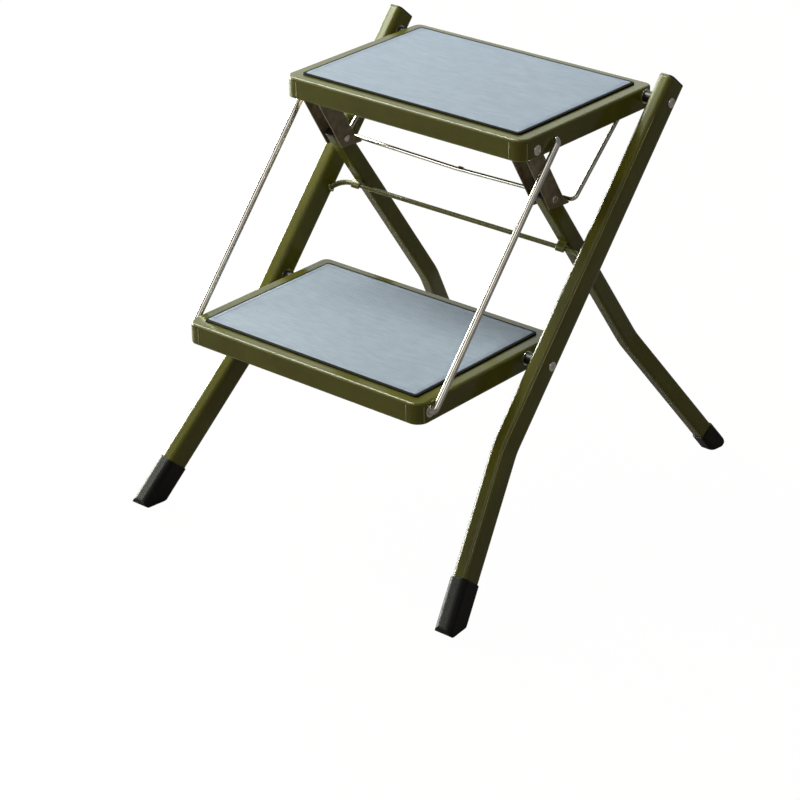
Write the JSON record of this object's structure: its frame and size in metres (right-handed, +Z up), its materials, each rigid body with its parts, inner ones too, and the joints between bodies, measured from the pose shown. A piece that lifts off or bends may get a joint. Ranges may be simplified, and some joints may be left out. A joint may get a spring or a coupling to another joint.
{
  "type": "folding step stool",
  "caption": "Folding step stool with pressed steel steps on splayed tube legs, rubber mats and feet, chrome link rods and a lock wire",
  "frame": {"origin": "on the floor under the middle of the whole stool, centred between the legs and between the front and rear feet", "axes": "+X to the right side seen from the front, +Y to the rear, away from the person climbing, +Z up"},
  "size_m": [0.5036, 0.581, 0.5258],
  "materials": {
    "olive_paint": "glossy olive green paint",
    "mat_rubber": "ribbed black rubber with a soft sheen",
    "black_rubber": "matt black rubber",
    "black_plastic": "matt black plastic",
    "chrome_wire": "bright chrome plating",
    "zinc_steel": "zinc plated steel",
    "dark_steel": "dark oiled steel"
  },
  "bodies": {
    "front_frame": {"front_leg_left": "olive_paint", "front_leg_plug_left": "black_plastic", "front_foot_left": "black_rubber", "top_hinge_pin_left": "zinc_steel", "top_hinge_sleeve_left": "black_plastic", "lower_hinge_pin_left": "zinc_steel", "lower_hinge_sleeve_left": "black_plastic", "front_leg_right": "olive_paint", "front_leg_plug_right": "black_plastic", "front_foot_right": "black_rubber", "top_hinge_pin_right": "zinc_steel", "top_hinge_sleeve_right": "black_plastic", "lower_hinge_pin_right": "zinc_steel", "lower_hinge_sleeve_right": "black_plastic", "tie_bar": "olive_paint", "hinge_washers": "zinc_steel"},
    "top_step": {"top_step_pan": "olive_paint", "top_step_mat": "mat_rubber", "top_step_stiffener": "olive_paint", "bracket_rivet_left": "zinc_steel", "wire_clip_left": "zinc_steel", "bracket_rivet_right": "zinc_steel", "wire_clip_right": "zinc_steel"},
    "lower_step": {"lower_step_pan": "olive_paint", "lower_step_mat": "mat_rubber", "lower_step_stiffener": "olive_paint"},
    "rear_left": {"rear_leg_left": "olive_paint", "rear_leg_plug_left": "black_plastic", "rear_foot_left": "black_rubber", "rear_leg_pin_left": "zinc_steel", "rear_saddle_left": "olive_paint"},
    "bracket_left": {"lock_bracket_left": "dark_steel", "bracket_pins_left": "zinc_steel"},
    "rod_left": {"link_rod_left": "chrome_wire", "rod_washer_left": "zinc_steel"},
    "rear_right": {"rear_leg_right": "olive_paint", "rear_leg_plug_right": "black_plastic", "rear_foot_right": "black_rubber", "rear_leg_pin_right": "zinc_steel", "rear_saddle_right": "olive_paint"},
    "bracket_right": {"lock_bracket_right": "dark_steel", "bracket_pins_right": "zinc_steel"},
    "rod_right": {"link_rod_right": "chrome_wire", "rod_washer_right": "zinc_steel"},
    "lock_wire_body": {"lock_wire": "chrome_wire"}
  },
  "joints": [
    {"name": "top_step_fold", "type": "hinge", "parent": "front_frame", "child": "top_step", "pos_m": [0, 0.15411, 0.4937], "axis": [1, 0, 0], "range_deg": [0, 43]},
    {"name": "lower_step_fold", "type": "hinge", "parent": "front_frame", "child": "lower_step", "pos_m": [0, -0.06437, 0.24014], "axis": [1, 0, 0], "range_deg": [0, 43]},
    {"name": "link_rod_left_swing", "type": "hinge", "parent": "top_step", "child": "rod_left", "pos_m": [-0.1784, -0.01589, 0.4915], "axis": [1, 0, 0], "range_deg": [-43, 0]},
    {"name": "rear_leg_left_swing", "type": "hinge", "parent": "front_frame", "child": "rear_left", "pos_m": [-0.1575, 0.02829, 0.33942], "axis": [1, 0, 0], "range_deg": [-68.3, 0]},
    {"name": "bracket_left_swing", "type": "hinge", "parent": "top_step", "child": "bracket_left", "pos_m": [-0.1575, -0.04719, 0.4875], "axis": [1, 0, 0], "range_deg": [0, 48.3]},
    {"name": "link_rod_right_swing", "type": "hinge", "parent": "top_step", "child": "rod_right", "pos_m": [0.1784, -0.01589, 0.4915], "axis": [1, 0, 0], "range_deg": [-43, 0]},
    {"name": "rear_leg_right_swing", "type": "hinge", "parent": "front_frame", "child": "rear_right", "pos_m": [0.1575, 0.02829, 0.33942], "axis": [1, 0, 0], "range_deg": [-68.3, 0]},
    {"name": "bracket_right_swing", "type": "hinge", "parent": "top_step", "child": "bracket_right", "pos_m": [0.1575, -0.04719, 0.4875], "axis": [1, 0, 0], "range_deg": [0, 48.3]},
    {"name": "lock_wire_lift", "type": "hinge", "parent": "top_step", "child": "lock_wire_body", "pos_m": [0, 0.13411, 0.5006], "axis": [1, 0, 0], "range_deg": [-42, 0]}
  ],
  "couplings": [
    {"joint": "lower_step_fold", "follows": "top_step_fold", "ratio": 1},
    {"joint": "link_rod_left_swing", "follows": "top_step_fold", "ratio": -1},
    {"joint": "rear_leg_left_swing", "follows": "top_step_fold", "ratio": -1.588},
    {"joint": "bracket_left_swing", "follows": "top_step_fold", "ratio": 1.123},
    {"joint": "link_rod_right_swing", "follows": "top_step_fold", "ratio": -1},
    {"joint": "rear_leg_right_swing", "follows": "top_step_fold", "ratio": -1.588},
    {"joint": "bracket_right_swing", "follows": "top_step_fold", "ratio": 1.123}
  ]
}
